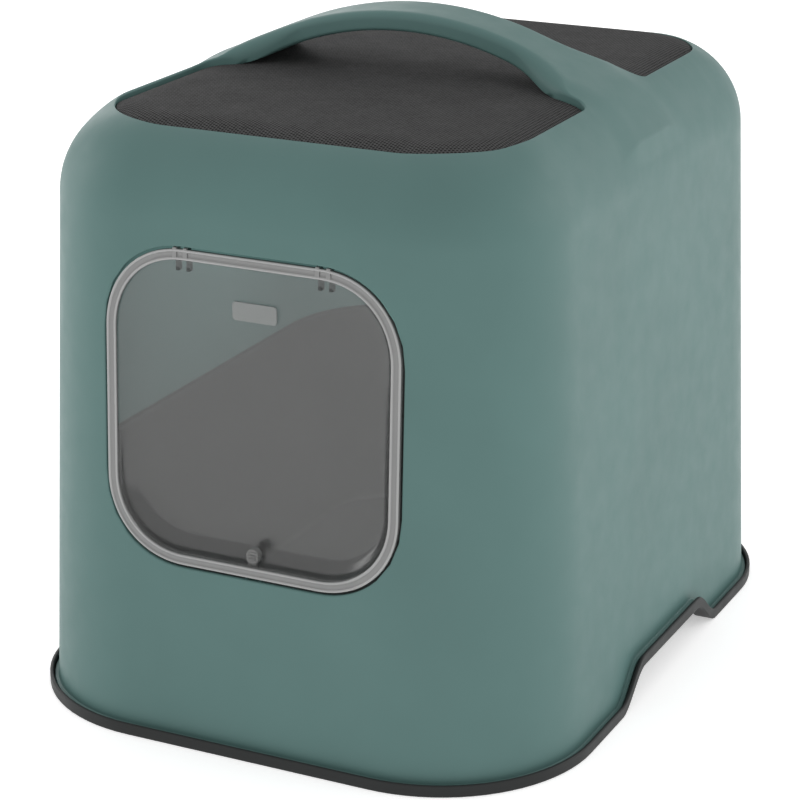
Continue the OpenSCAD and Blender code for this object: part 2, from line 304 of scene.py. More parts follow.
def perimeter(side_step, end_step, corner_steps):
    """Columns round the plan, anticlockwise from the right side's front end: core points and directions."""
    core, out = [], []
    quarters = [
        ((CORE_X, -CORE_Y), (CORE_X, CORE_Y), 0.0, side_step),
        ((CORE_X, CORE_Y), (-CORE_X, CORE_Y), 90.0, end_step),
        ((-CORE_X, CORE_Y), (-CORE_X, -CORE_Y), 180.0, side_step),
        ((-CORE_X, -CORE_Y), (CORE_X, -CORE_Y), 270.0, end_step),
    ]
    for start, end, angle, step in quarters:
        start, end = np.array(start), np.array(end)
        length = np.linalg.norm(end - start)
        for t in spread(0.0, length, step):
            core.append(start + (end - start) * t / length)
            out.append(angle)
        for i in range(corner_steps):
            core.append(end)
            out.append(angle + 90.0 * i / corner_steps)
    out = np.radians(out)
    return np.array(core), np.stack([np.cos(out), np.sin(out)], 1)


def hood_reach(z, inset=0.0):
    """How far the hood's wall stands out from the corner centres at height z."""
    return FOOT_REACH - inset / math.cos(LEAN) - z * SLOPE


def plan_reach(x, y):
    """Distance of a plan point from the core rectangle."""
    return np.hypot(np.maximum(np.abs(x) - CORE_X, 0), np.maximum(np.abs(y) - CORE_Y, 0))


def roof_height(x, y, sink=0.0):
    """Height of the plain rounded roof over a plan point, sunk along its normal."""
    r = np.maximum(plan_reach(x, y) - FILLET_REACH, 0)
    radius = FILLET - sink
    return FILLET_Z + np.sqrt(np.maximum(radius**2 - np.minimum(r, radius) ** 2, 0))


def handle_side(x):
    """Half the handle's width at x."""
    return HANDLE_HALF + (FOOT_HALF - HANDLE_HALF) * smooth((np.abs(x) - FLARE_X) / (FOOT_X - FLARE_X))


def arch(x, top, radius):
    """Height of one of the handle's arcs at x."""
    return top - radius + np.sqrt(np.maximum(radius**2 - np.minimum(np.abs(x), radius) ** 2, 0))


def crest(x):
    """Height of the handle's top line at x: an arc, then straight down towards the shoulder it lands on."""
    start = HANDLE_TOP - ARCH_OUTER + math.sqrt(ARCH_OUTER**2 - CREST_X**2)
    slope = CREST_X / math.sqrt(ARCH_OUTER**2 - CREST_X**2)
    straight = start - slope * (np.abs(x) - CREST_X)
    line = np.where(np.abs(x) < CREST_X, arch(x, HANDLE_TOP, ARCH_OUTER), straight)
    return line - np.maximum(np.abs(x) - LAND_X, 0) ** 2 / LAND_EASE


def blend_max(a, b, width):
    """Smooth maximum of a and b."""
    h = np.clip(0.5 + 0.5 * (a - b) / width, 0, 1)
    return b * (1 - h) + a * h + width * h * (1 - h)


def rail_rise(x, y):
    """How far the rails beside the roof panel stand above the plain roof."""
    rise = smooth((np.abs(x) - RAIL_INNER) / RAIL_RUN)
    across = rise * (1 - smooth((np.abs(x) - PANEL_HALF_X) / RAIL_RUN))
    along = smooth((RAIL_END - np.abs(y)) / RAIL_EASE)
    return RAIL_RISE * across * along


def hood_height(x, y):
    """Height of the hood's top over a plan point: the roof, its rails and the handle."""
    rails = roof_height(x, y) + rail_rise(x, y)
    soft = 22.0 * smooth((np.abs(x) - 100.0) / 36.0)
    beside = np.maximum(np.abs(y) - handle_side(x) + soft, 0)
    handle = crest(x) - beside**2 / FOOT_SLOPE
    return blend_max(rails, handle, RAIL_BLEND)


# The roof is laid out flat for triangulating: distances beyond the flat top run along the round
def unroll(xy):
    """Plan points to layout points."""
    xy = np.asarray(xy, float)
    over = np.maximum(np.abs(xy) - [CORE_X, CORE_Y], 0)
    r = np.hypot(*over.T)
    bend = np.clip((r - FILLET_REACH) / FILLET, 0, 1)
    d = np.where(r > FILLET_REACH, FILLET_REACH + FILLET * np.arcsin(bend), r)
    scale = np.where(r > 1e-9, d / np.maximum(r, 1e-9), 1)
    return np.sign(xy) * (np.minimum(np.abs(xy), [CORE_X, CORE_Y]) + over * scale[:, None])


def roll(ab):
    """Layout points back to plan points."""
    ab = np.asarray(ab, float)
    over = np.maximum(np.abs(ab) - [CORE_X, CORE_Y], 0)
    d = np.hypot(*over.T)
    angle = np.clip((d - FILLET_REACH) / FILLET, 0, math.pi / 2)
    r = np.where(d > FILLET_REACH, FILLET_REACH + FILLET * np.sin(angle), d)
    scale = np.where(d > 1e-9, r / np.maximum(d, 1e-9), 1)
    return np.sign(ab) * (np.minimum(np.abs(ab), [CORE_X, CORE_Y]) + over * scale[:, None])


def window_edge(grow, bridge_step=4.0, side_step=7.0):
    """Outline (n, 2) of the front opening in the hood's roof, from the right foot along the handle and round
    past the front, and how many of its first points lie along the handle. grow makes the opening larger."""
    xs = np.linspace(-FOOT_X, FOOT_X, int(2 * FOOT_X / bridge_step) + 1)
    bridge = [(-x, -(handle_side(x) + 1.5 - grow)) for x in xs]
    tip_y = FOOT_HALF + 1.5 + TIP_ROUND
    tip = [
        (-FOOT_X - (TIP_ROUND + grow) * math.sin(a), -tip_y + (TIP_ROUND + grow) * math.cos(a))
        for a in np.linspace(0, math.pi / 2, 9)[1:]
    ]
    half_x, half_y = FOOT_X + TIP_ROUND + grow, PANEL_HALF_Y + grow
    corner = PANEL_CORNER + grow
    side = [(-half_x, y) for y in spread(-tip_y, -(half_y - corner), side_step)[1:]]
    arc = [
        (-(half_x - corner) - corner * math.cos(a), -(half_y - corner) - corner * math.sin(a))
        for a in np.linspace(0, math.pi / 2, 19)
    ]
    front = [(x, -half_y) for x in spread(-(half_x - corner), 0.0, side_step)[1:]] + [(0.0, -half_y)]
    left = tip + side + arc + front
    right = [(-x, y) for x, y in left[-2::-1]]
    return np.array(bridge + left + right), len(bridge)


# ---------------------------------------------------------------- hood
def wall_point(core, out, reach, z):
    """Points at a reach and a height on every column."""
    reach, z = np.broadcast_to(reach, len(core)), np.broadcast_to(z, len(core))
    return np.column_stack([core + out * reach[:, None], z])


def grip_lift(core, out, reach):
    """How far the hand-holds lift the foot of the walls on each column."""
    y = core[:, 1] + out[:, 1] * reach
    on_side = np.abs(out[:, 0]) > 0.999
    return np.where(on_side, GRIP_RISE * smooth((GRIP_HALF - np.abs(y)) / GRIP_RUN), 0.0)


def door_outline(grow, count_x, count_z):
    """Doorway or flap outline, grown by grow: points (n, 2) in x and height above the flap's centre, matched
    to the edge of a block of count_x by count_z cells, anticlockwise from its lower left corner."""
    radius = FLAP_CORNER + grow
    power = 2.0 / CORNER_POWER
    side, points = [], []
    for turn, count in enumerate((count_x, count_z, count_x, count_z)):
        for i in range(count):
            side.append(turn * 90.0 - 135.0 + 90.0 * i / count)
    for angle in np.radians(side):
        c, s = math.cos(angle), math.sin(angle)
        # Walks outwards in this direction until it meets the rounded square
        low, high = 0.0, 400.0
        for _ in range(40):
            mid = (low + high) / 2
            over_x = max(abs(c) * mid - CORE_U, 0) / radius
            over_z = max(abs(s) * mid - CORE_V, 0) / radius
            outside = over_x ** (2 / power) + over_z ** (2 / power) > 1
            low, high = (low, mid) if outside else (mid, high)
        points.append((c * low, s * low))
    return np.array(points)


def front_wall(points, inset):
    """Puts points (x, height above the flap's centre) on the hood's front wall."""
    x, z = points[:, 0], FLAP_Z + points[:, 1] * math.cos(LEAN)
    over = np.maximum(np.abs(x) - CORE_X, 0)
    reach = hood_reach(z, inset)
    return np.column_stack([x, -CORE_Y - np.sqrt(reach**2 - over**2), z])


def walls_with_door(shape, core, out, heights, inset, block, flip):
    """Adds the hood's wall as a grid of rows at heights (rows, columns), with the doorway in its front."""
    reach = hood_reach(heights, inset)
    points = np.concatenate([core[None] + out[None] * reach[..., None], heights[..., None]], 2)
    rows, cols = heights.shape
    (c0, c1), (r0, r1) = block
    left = np.roll(points, -c1, 1)
    shape.grid(left[:, : cols - (c1 - c0) + 1], flip=flip)
    shape.grid(points[: r0 + 1, c0 : c1 + 1], flip=flip)
    shape.grid(points[r1:, c0 : c1 + 1], flip=flip)
    frame_points = np.concatenate([
        points[r0, c0:c1], points[r0:r1, c1], points[r1, c1:c0:-1], points[r1:r0:-1, c0]
    ])
    edge = np.column_stack([frame_points[:, 0], (frame_points[:, 2] - FLAP_Z) / math.cos(LEAN)])
    door = door_outline(FLAP_GAP + DOOR_ROUND, c1 - c0, r1 - r0)
    rings = []
    for t in (0.0, 0.3, 0.6, 0.82, 0.94, 1.0):
        ring = front_wall(edge + (door - edge) * t, inset)
        rings.append(frame_points if t == 0 else ring)
    shape.grid(rings, wrap=True, flip=flip)
    return door


def make_hood():
    """The hood with its handle, doorway, hinge arms, slider pocket and filter well."""
    shape = Shape()
    core, out = perimeter(3.6, 9.0, 22)
    columns = len(core)
    span = [i for i in range(columns) if core[i, 1] < 0 and out[i, 1] < -0.93]
    block_cols = (span[0], span[-1])
    top_z = FILLET_Z + FILLET * math.sin(LEAN)
    lift = grip_lift(core, out, FOOT_REACH)

    # Outer foot: a thin flange, then the wall
    foot = [
        (FLANGE_INNER, HOOD_FOOT), (HOOD_FLANGE - 0.5, HOOD_FOOT), (HOOD_FLANGE, HOOD_FOOT + 0.5),
        (HOOD_FLANGE, HOOD_FOOT + 1.5), (HOOD_FLANGE - 0.5, HOOD_FOOT + 2.0),
        (hood_reach(HOOD_FOOT + 2) + 1.0, HOOD_FOOT + 2.0),
        (hood_reach(HOOD_FOOT + 2) + 0.25, HOOD_FOOT + 2.3), (hood_reach(HOOD_FOOT + 3), HOOD_FOOT + 3.0),
    ]
    fall = lift * SLOPE
    shape.grid([wall_point(core, out, r - fall, z + lift) for r, z in foot], wrap=True)

    # Walls: rows run from the lifted foot to the start of the round
    row_z = np.array([HOOD_FOOT + 3, 12, 24, 38, 54, 72, *range(92, 313, 20), 330, top_z])
    share = np.clip((90.0 - row_z) / (90.0 - row_z[0]), 0, 1)
    heights = row_z[:, None] + share[:, None] * lift[None]
    rows_above = [i for i, z in enumerate(row_z) if z > FLAP_Z - 118]
    block = (block_cols, (rows_above[0] - 1, len(row_z) - 1))
    outer_door = walls_with_door(shape, core, out, heights, 0.0, block, False)

    # The round, up to where the roof's outline starts
    rim_layout = 68.0
    angles = np.linspace(math.pi / 2 - LEAN, (rim_layout - FILLET_REACH) / FILLET, 14)
    ring = []
    for a in angles:
        xy = core + out * (FILLET_REACH + FILLET * math.sin(a))
        base = np.full(columns, FILLET_Z + FILLET * math.cos(a))
        rise = hood_height(*xy.T) - roof_height(*xy.T) if a < HANDLE_START else 0.0
        ring.append(np.column_stack([xy, base + rise]))
    shape.grid(ring, wrap=True)

    # The shoulders and the top of the handle, laid out flat, with the two openings cut in
    edge, bridge = window_edge(PANEL_GAP)
    round_r = edge_radius(edge, bridge)
    normal = outward(edge)
    lip = edge - normal * round_r[:, None]
    rear = (lip * [1, -1])[::-1]

    def on_top(ab):
        xy = roll(ab)
        return np.column_stack([xy, hood_height(*xy.T)])

    rim = unroll(core + out * (FILLET_REACH + FILLET * math.sin(angles[-1])))
    shape.fill(rim, on_top, 3.6, holes=[unroll(lip), unroll(rear)])

    # Edges of the openings: a round, then down to the seat; along the span the handle has its own underside
    lip_z = hood_height(*lip.T)
    rows = []
    for a in rounding(7):
        xy = lip + normal * (round_r * math.sin(a))[:, None]
        rows.append(np.column_stack([xy, lip_z - round_r * (1 - math.cos(a))]))
    level = roof_height(*edge.T, sink=PANEL_SINK) + FOOT_GAP
    level[:bridge] = underside(edge[:bridge])
    rows.append(np.column_stack([edge, level]))
    span = [i for i in range(bridge) if abs(edge[i, 0]) < SPAN_X]
    first, last = span[0], span[-1]
    seat = np.column_stack([edge, roof_height(*edge.T, sink=SEAT)])
    for mirror in (1, -1):
        turned = [np.concatenate([r[last:], r[: first + 1]]) * [1, mirror, 1] for r in rows + [seat]]
        shape.grid(turned, flip=mirror < 0)
    ends = make_span(shape, [r[first : last + 1] for r in rows[:-1]], edge[first : last + 1])

    # Seat under the panel, and the steps from it up to the ends of the span
    outline = np.concatenate([edge[last:], edge[: first + 1]])
    across = [end[:, :2] for end in ends]
    whole = np.concatenate([outline, across[0][1:-1], (outline * [1, -1])[::-1], across[1][1:-1]])
    shape.fill(unroll(whole), seat_place, 14.0)
    for end in ends:
        shape.grid([end, np.column_stack([end[:, :2], roof_height(*end[:, :2].T, sink=SEAT)])])

    # Inside: wall, round and ceiling
    inner_top = ROOF_TOP - SEAT - WALL
    inner_round = FILLET - WALL
    inner_z = inner_top - inner_round
    inner_mid = inner_z + inner_round * math.sin(LEAN)
    row_in = row_z.copy()
    row_in[0] = HOOD_FOOT
    row_in[-1] = inner_mid
    share = np.clip((90.0 - row_in) / (90.0 - row_in[0]), 0, 1)
    heights_in = row_in[:, None] + share[:, None] * lift[None]
    walls_with_door(shape, core, out, heights_in, WALL, block, True)
    shape.grid([
        wall_point(core, out, hood_reach(HOOD_FOOT, WALL) - fall, HOOD_FOOT + lift),
        wall_point(core, out, FLANGE_INNER - fall, HOOD_FOOT + lift),
    ], wrap=True)
    reach_in = hood_reach(inner_z, WALL) - inner_round / math.cos(LEAN)
    angles_in = np.linspace(math.pi / 2 - LEAN, 0, 12)
    shape.grid([
        wall_point(core, out, reach_in + inner_round * math.sin(a), inner_z + inner_round * math.cos(a))
        for a in angles_in
    ], wrap=True, flip=True)
    ceiling = core + out * reach_in
    shape.fill(ceiling, lambda ab: np.column_stack([ab, np.full(len(ab), inner_top)]), 22.0, flip=True)

    # Doorway edge, through the wall
    true_edge = door_outline(FLAP_GAP, *[b[1] - b[0] for b in block])
    depth = [(1 - math.cos(a)) * DOOR_ROUND for a in rounding(4)]
    grow = [DOOR_ROUND * (1 - math.sin(a)) for a in rounding(4)]
    lines = [true_edge + (outer_door - true_edge) * g / DOOR_ROUND for g in grow]
    through = [front_wall(line, d) for line, d in zip(lines, depth)]
    back = [front_wall(line, WALL - d) for line, d in zip(lines, depth)]
    shape.grid(through + back[::-1], wrap=True)
    add_hinge_arms(shape)
    add_keeper(shape)
    add_filter_well(shape, inner_top)
    return shape.build("hood")


def seat_place(ab):
    """Puts layout points on the seat under the panel."""
    xy = roll(ab)
    return np.column_stack([xy, roof_height(*xy.T, sink=SEAT)])


def outward(loop):
    """Unit normals of a closed outline, pointing to the left of its direction."""
    along = np.roll(loop, -1, 0) - np.roll(loop, 1, 0)
    along /= np.linalg.norm(along, axis=1)[:, None]
    return np.column_stack([-along[:, 1], along[:, 0]])


def edge_radius(edge, bridge):
    """Radius of the rounded edge round an opening: small beside the panel, larger at the handle's feet."""
    rise = hood_height(*edge.T) - roof_height(*edge.T, PANEL_SINK)
    share = np.full(len(edge), 0.3)
    most = np.full(len(edge), 2.4)
    x = np.abs(edge[:bridge, 0])
    at_foot = smooth((x - 75.0) / 30.0) * smooth((FOOT_X - x) / 20.0)
    share[:bridge] += 0.35 * smooth((FOOT_X - x) / 20.0) + 0.15 * at_foot
    most[:bridge] = 2.4 + 3.1 * smooth((FOOT_X - x) / 30.0) + 4.5 * at_foot
    return np.clip(rise * share, 0.9, most)


def underside(xy):
    """Height of the handle's underside at plan points: its lower arc, easing to a gap over the panel."""
    over_panel = roof_height(*xy.T, sink=PANEL_SINK) + FOOT_GAP
    return blend_max(arch(xy[:, 0], HANDLE_TOP - HANDLE_THICK, ARCH_INNER), over_panel, 5.0)


def make_span(shape, top_rows, edge):
    """Adds the handle's sides and underside between its rounded top edges, and returns its end lines."""
    x = edge[:, 0]
    floor = underside(edge)
    radius = 2.6 * smooth((SPAN_X - 3.0 - np.abs(x)) / 24.0)
    radius[[0, -1]] = 0.0
    half = list(top_rows)
    for a in rounding(5):
        inward, up = radius * (1 - math.cos(a)), radius * (1 - math.sin(a))
        half.append(np.column_stack([x, edge[:, 1] + inward, floor + up]))
    rim = half[-1]
    for t in (0.35, 0.7, 1.0):
        half.append(np.column_stack([x, rim[:, 1] * (1 - t), floor]))
    for mirror in (1, -1):
        shape.grid([h * [1, mirror, 1] for h in half], flip=mirror < 0)
    ends = []
    for i in (0, -1):
        line = [rim[i]] + [h[i] for h in half[-3:]]
        line += [p * np.array([1, -1, 1]) for p in line[-2::-1]]
        ends.append(np.array(line if i == 0 else line[::-1]))
    return ends


def prism(shape, outline, place, low, high, edge):
    """Adds a prism of a closed outline with slightly broken edges; place puts outline points at a height."""
    outline = np.asarray(outline, float)
    inner = outline + outward(outline) * np.sign(area(outline)) * edge
    rows = [place(inner, low), place(outline, low + edge), place(outline, high - edge), place(inner, high)]
    shape.grid(rows, wrap=True)
    shape.cap(rows[0])
    shape.cap(rows[-1])


def add_hinge_arms(shape):
    """Four gooseneck arms that carry the hinge pins behind the top edge of the doorway."""
    eye = [EYE_ROUND * np.array([math.cos(a), math.sin(a)]) for a in np.radians(np.linspace(125, 325, 13))]
    outline = eye + [(3.2, 1.6), (4.2, 4.2), (4.2, 17.0), (0.5, 17.0), (0.5, 5.5), (-0.5, 3.3)]

    def beside(points, x):
        flat = np.column_stack([np.full(len(points), x), AXIS_V + points[:, 1]])
        return on_flap(flat, AXIS_W - points[:, 0])

    for side in (-1, 1):
        for arm in (-1, 1):
            x = side * HINGE_X + arm * ARM_PITCH / 2
            prism(shape, outline, beside, x - ARM_THICK / 2, x + ARM_THICK / 2, ARM_EDGE)


def add_keeper(shape):
    """The pocket behind the sill that the slider drops into."""
    outline = [(-6, -9.4), (6, -9.4), (6, -2.8), (4, -2.8), (4, -7.4), (-4, -7.4), (-4, -2.8), (-6, -2.8)]
    foot = -(CORE_V + FLAP_CORNER) - 9.0

    def above(points, v):
        return on_flap(np.column_stack([points[:, 0], np.full(len(points), v)]), points[:, 1])

    prism(shape, outline, above, foot, foot + 6.6, 0.25)


def add_filter_well(shape, ceiling_z):
    """The box under the ceiling that holds the filter pad, with slots through its floor."""
    outer = round_box(WELL_W + 2 * WALL, WELL_D + 2 * WALL, 4.0)
    inner = round_box(WELL_W, WELL_D, 1.0)
    floor_z = ceiling_z - WELL_DEPTH
    pitch = (WELL_W - 3 * VENT_W) / VENT_GAPS
    slots = [
        round_box(VENT_W, WELL_D - 4 * VENT_W, 2.0, (pitch * (i - VENT_GAPS / 2), 0.0), 3)[::-1]
        for i in range(VENT_GAPS + 1)
    ]

    def level(z):
        return lambda points: np.column_stack([points, np.full(len(points), z)])

    low = level(floor_z - WALL)
    rows = [low(outer + outward(outer))]
    rows += [level(floor_z - WALL + 1.0)(outer), level(ceiling_z + 0.2)(outer)]
    shape.grid(rows, wrap=True)
    shape.fill(rows[0][:, :2], low, 14.0, holes=slots, flip=True)
    shape.fill(outer, level(ceiling_z + 0.2), 14.0, holes=[inner])
    shape.grid([level(ceiling_z + 0.2)(inner), level(floor_z)(inner)], wrap=True)
    shape.fill(inner, level(floor_z), 14.0, holes=slots)
    for slot in slots:
        shape.grid([low(slot), level(floor_z)(slot)], wrap=True)


# ---------------------------------------------------------------- roof panel
def make_panel():
    """The dark roof panel: one plate that passes under the handle, notched for its feet."""
    shape = Shape()
    edge, bridge = window_edge(0.0, side_step=5.0)
    feet = [p for p in edge[:bridge] if abs(p[0]) > NOTCH_X]
    right_foot = np.array([p for p in feet if p[0] > 0])
    left_foot = np.array([p for p in feet if p[0] < 0])
    front = np.concatenate([
        [(-NOTCH_X, 0.0)], left_foot[:-1], edge[bridge - 1 :], right_foot, [(NOTCH_X, 0.0)],
    ])
    loop = np.concatenate([front, (front * [1, -1])[::-1][1:-1]])
    normal = outward(loop) * np.sign(area(loop))
    rows = []
    for a in rounding(4):
        xy = loop + normal * PANEL_ROUND * (1 - math.sin(a))
        height = roof_height(*xy.T, sink=PANEL_SINK) - PANEL_ROUND * (1 - math.cos(a))
        rows.append(np.column_stack([xy, height]))
    low = np.column_stack([loop, roof_height(*loop.T, sink=SEAT - 0.1)])
    shape.grid(rows + [low], wrap=True)

    def on_panel(sink):
        def place(ab):
            xy = roll(ab)
            return np.column_stack([xy, roof_height(*xy.T, sink=sink)])
        return place

    shape.fill(unroll(rows[0][:, :2]), on_panel(PANEL_SINK), 5.0)
    shape.fill(unroll(loop), on_panel(SEAT - 0.1), 16.0, flip=True)
    return shape.build("roof_panel")


def area(loop):
    """Signed area of an outline, positive when it runs anticlockwise."""
    x, y = loop.T
    return 0.5 * float(np.sum(x * np.roll(y, -1) - np.roll(x, -1) * y))


# ---------------------------------------------------------------- flap
def on_flap(points, w):
    """Puts points (n, 2) of the flap's plane at a distance w in front of the hood's face."""
    u, v = np.asarray(points, float).T
    s, c = math.sin(LEAN), math.cos(LEAN)
    w = np.broadcast_to(w, u.shape)
    return np.column_stack([u, FRONT_Y + v * s - w * c, FLAP_Z + v * c + w * s])


def flap_loop(inset):
    """The flap's outline, inset."""
    return door_outline(-inset, 44, 44)


def plate(shape, loop, low, high, bevel, place=on_flap, steps=3):
    """Adds a plate of a convex outline between two heights, with a rounded edge on its upper face."""
    loop = np.asarray(loop, float)
    centre = loop.mean(0)
    size = np.abs(loop - centre).max(0)
    rows = [place(loop, low)]
    for a in rounding(steps):
        share = 1 - bevel * (1 - math.cos(a)) / size
        rows.append(place(centre + (loop - centre) * share, high - bevel * (1 - math.sin(a))))
    shape.grid(rows, wrap=True)
    shape.cap(rows[0])
    shape.cap(rows[-1])


def round_box(width, height, radius, centre=(0.0, 0.0), steps=5):
    """Outline (n, 2) of a rounded rectangle."""
    half = np.array([width / 2 - radius, height / 2 - radius])
    points = []
    for turn, sign in enumerate(((1, 1), (-1, 1), (-1, -1), (1, -1))):
        for a in np.radians(np.linspace(0, 90, steps + 1) + 90 * turn):
            points.append(np.array(centre) + half * sign + radius * np.array([math.cos(a), math.sin(a)]))
    return np.array(points)


def make_frame():
    """The flap's frame with its two beads, whose tops get a lighter material as a painted highlight, and the
    pads over the hinges.
    """
    shape = Shape()
    profile = FRAME_PROFILE + FRAME_PROFILE[:1]
    for (inset, w), (next_inset, next_w) in zip(profile, profile[1:]):
        # Bead tops take the second, lighter material: a painted highlight
        shape.paint = 1 if min(w, next_w) > BEAD_HIGHLIGHT_FOOT else 0
        shape.grid([on_flap(flap_loop(inset), w), on_flap(flap_loop(next_inset), next_w)], wrap=True)
    shape.paint = 0
    for side in (-1, 1):
        for arm in (-1, 1):
            at = side * HINGE_X + arm * ARM_PITCH / 2
            plate(shape, round_box(3.0, 2.6, 0.8, (at, FLAP_W / 2 + 0.1)), -2.4, -0.2, 0.6)
            plate(shape, round_box(3.2, 5.6, 0.5, (at, FLAP_W / 2 - 3.6)), -0.9, -0.25, 0.3)
    return shape.build("flap_frame_ring")


def make_window():
    """The clear dished panel: upright, so it is deeper at its foot than at its top."""
    shape = Shape()

    def ring(inset, share, shift, back):
        loop = flap_loop(inset)
        at_hinge = np.abs(np.abs(loop[:, 0]) - HINGE_X) < RELIEF_HALF
        lowered = np.minimum(loop[:, 1], AXIS_V - RELIEF_DROP - 0.1 * inset)
        loop[:, 1] = np.where(at_hinge, lowered, loop[:, 1])
        v = loop[:, 1]
        depth = (PANEL_FACE - (FRONT_Y + v * math.sin(LEAN))) / math.cos(LEAN)
        w = -depth * share + shift * (1 - share) - back
        return on_flap(loop, w)

    front = [ring(*row, 0.0) for row in WINDOW_PROFILE]
    back = [ring(*row, SHEET) for row in WINDOW_PROFILE]
    shape.grid(back[::-1] + front, wrap=True)
    shape.cap(front[-1])
    shape.cap(back[-1])
    # Gussets under the hinges, in a darker, less see-through plastic than the pane
    shape.paint = 1
    for side in (-1, 1):
        for arm in (-1, 1):
            at = side * HINGE_X + arm * ARM_PITCH / 2
            loop = round_box(2.6, GUSSET_H, 0.6, (at, AXIS_V - RELIEF_DROP - 1.0 - GUSSET_H / 2))
            plate(shape, loop, -8.0, -4.2, 0.5)
    return shape.build("flap_pane")


def make_badge():
    """The blank plate on the flap's panel."""
    shape = Shape()

    def upright(points, w):
        x, z = np.asarray(points, float).T
        return np.column_stack([x, np.broadcast_to(PANEL_FACE - w, x.shape), z])

    plate(shape, round_box(PLATE_W, PLATE_H, 2.2, (0.0, PLATE_Z)), -0.1, 0.8, 0.35, upright)
    return shape.build("blank_plate")


def make_latch():
    """The slider: a ribbed knob and the tongue that drops into the pocket."""
    shape = Shape()
    foot = -FLAP_W / 2
    oval = round_box(KNOB_W, KNOB_H, KNOB_W / 2, (0.0, foot + KNOB_RISE), 8)
    plate(shape, oval, -9.0, -3.6, 0.9)
    for i in range(3):
        plate(shape, round_box(5.4, 1.2, 0.6, (0.0, foot + 11.3 + 2.1 * i)), -4.4, -2.9, 0.5)
    plate(shape, round_box(TONGUE_W, TONGUE_H, 0.8, (0.0, foot + TONGUE_RISE)), -6.2, -4.0, 0.4)
    return shape.build("slider")


# ---------------------------------------------------------------- tray
def make_tray():
    """The tray: basin, rim, outer skirt, flange and lip, as one closed section swept round the plan."""
    shape = Shape()
    core, out = perimeter(3.6, 5.0, 20)
    lift = grip_lift(core, out, FOOT_REACH)
    x_rim = core[:, 0] + out[:, 0] * ENTRY_REACH
    entry = ENTRY_TOP + (RIM_TOP - ENTRY_TOP) * smooth((np.abs(x_rim) - ENTRY_HALF) / ENTRY_RUN)
    rim = np.where(out[:, 1] < -1e-6, entry, RIM_TOP)
    slope = (BASIN_HIGH - BASIN_LOW) / RIM_TOP

    def skirt(z, inset=SKIRT_INSET):
        return hood_reach(z, inset)

    rows = [wall_point(core, out, 0.0, TRAY_SHEET)]
    for a in rounding(6):
        rows.append(wall_point(
            core, out,
            BASIN_LOW - BASIN_ROUND + BASIN_ROUND * math.sin(a),
            TRAY_SHEET + BASIN_ROUND * (1 - math.cos(a)),
        ))
    for t in (0.25, 0.5, 0.75):
        z = TRAY_SHEET + BASIN_ROUND + (rim - RIM_ROUND - TRAY_SHEET - BASIN_ROUND) * t
        rows.append(wall_point(core, out, BASIN_LOW + slope * z, z))
    for a in rounding(4):
        reach = BASIN_LOW + slope * rim + RIM_ROUND * (1 - math.cos(a))
        rows.append(wall_point(core, out, reach, rim - RIM_ROUND * (1 - math.sin(a))))
    for a in rounding(4):
        reach = skirt(rim) - RIM_ROUND * (1 - math.sin(a))
        rows.append(wall_point(core, out, reach, rim - RIM_ROUND * (1 - math.cos(a))))
    foot = lift + FLANGE_H
    for t in (0.2, 0.45, 0.7, 0.88):
        z = (rim - RIM_ROUND) * (1 - t) + (foot + 1.5) * t
        rows.append(wall_point(core, out, skirt(z), z))
    rows.append(wall_point(core, out, skirt(foot + 1.5), foot + 1.5))
    rows.append(wall_point(core, out, skirt(foot) + 0.4, foot + 0.4))
    rows.append(wall_point(core, out, skirt(foot) + 1.5, foot))
    lip_in, lip_out = LIP_REACH - LIP_THICK, LIP_REACH
    lip = lift + LIP_H
    rows.append(wall_point(core, out, lip_in - 0.8, foot))
    rows.append(wall_point(core, out, lip_in, foot + 0.8))
    for a in rounding(4):
        near, far = LIP_ROUND * (1 - math.cos(a)), LIP_ROUND * (1 - math.sin(a))
        rows.append(wall_point(core, out, lip_in + near, lip - far))
    for a in rounding(4):
        near, far = LIP_ROUND * (1 - math.cos(a)), LIP_ROUND * (1 - math.sin(a))
        rows.append(wall_point(core, out, lip_out - far, lip - near))
    for a in rounding(4):
        near, far = LIP_ROUND * (1 - math.cos(a)), LIP_ROUND * (1 - math.sin(a))
        rows.append(wall_point(core, out, lip_out - near, lift + far))
    hollow = skirt(lift, SKIRT_INSET + TRAY_SHEET)
    rows.append(wall_point(core, out, hollow + 1.0, lift))
    rows.append(wall_point(core, out, hollow, lift + 0.6))
    under = rim - TRAY_SHEET
    rows.append(wall_point(core, out, skirt(under, SKIRT_INSET + TRAY_SHEET), under))
    rows.append(wall_point(core, out, BASIN_LOW + slope * under + TRAY_SHEET, under))
    for a in rounding(5):
        rows.append(wall_point(
            core, out,
            BASIN_LOW + TRAY_SHEET - BASIN_ROUND * (1 - math.cos(a)),
            BASIN_ROUND * (1 - math.sin(a)),
        ))
    rows.append(wall_point(core, out, 0.0, 0.0))
    shape.grid(rows, wrap=True)
    edge = core[np.linalg.norm(core - np.roll(core, 1, 0), axis=1) > 1e-6]
    for z, flip in ((TRAY_SHEET, False), (0.0, True)):
        shape.fill(edge, lambda ab, z=z: np.column_stack([ab, np.full(len(ab), z)]), 24.0, flip=flip)
    return shape.build("tray")


# ---------------------------------------------------------------- materials
HEX_PITCH = 0.0024
PANEL_PIT_SHADE = (0.008, 0.008, 0.008)
PANEL_WALL = (0.072, 0.072, 0.0725)
GREEN = (0.090, 0.171, 0.161)
ANTHRACITE = (0.019, 0.0205, 0.0205)
FRAME_GREY = (0.19, 0.192, 0.19)
BEAD_HIGHLIGHT_GREY = (0.3, 0.302, 0.3)
DARK_SMOKE = (0.03, 0.03, 0.03)
LATCH_GREY = (0.22, 0.222, 0.22)
SMOKE = (0.10, 0.101, 0.10)
PLATE_GREY = (0.30, 0.31, 0.305)
FOAM_PORE_SHADE = (0.006, 0.006, 0.006)
FOAM_LIGHT = (0.045, 0.045, 0.045)
STEEL_DARK = (0.42, 0.42, 0.43)
STEEL_LIGHT = (0.56, 0.56, 0.57)


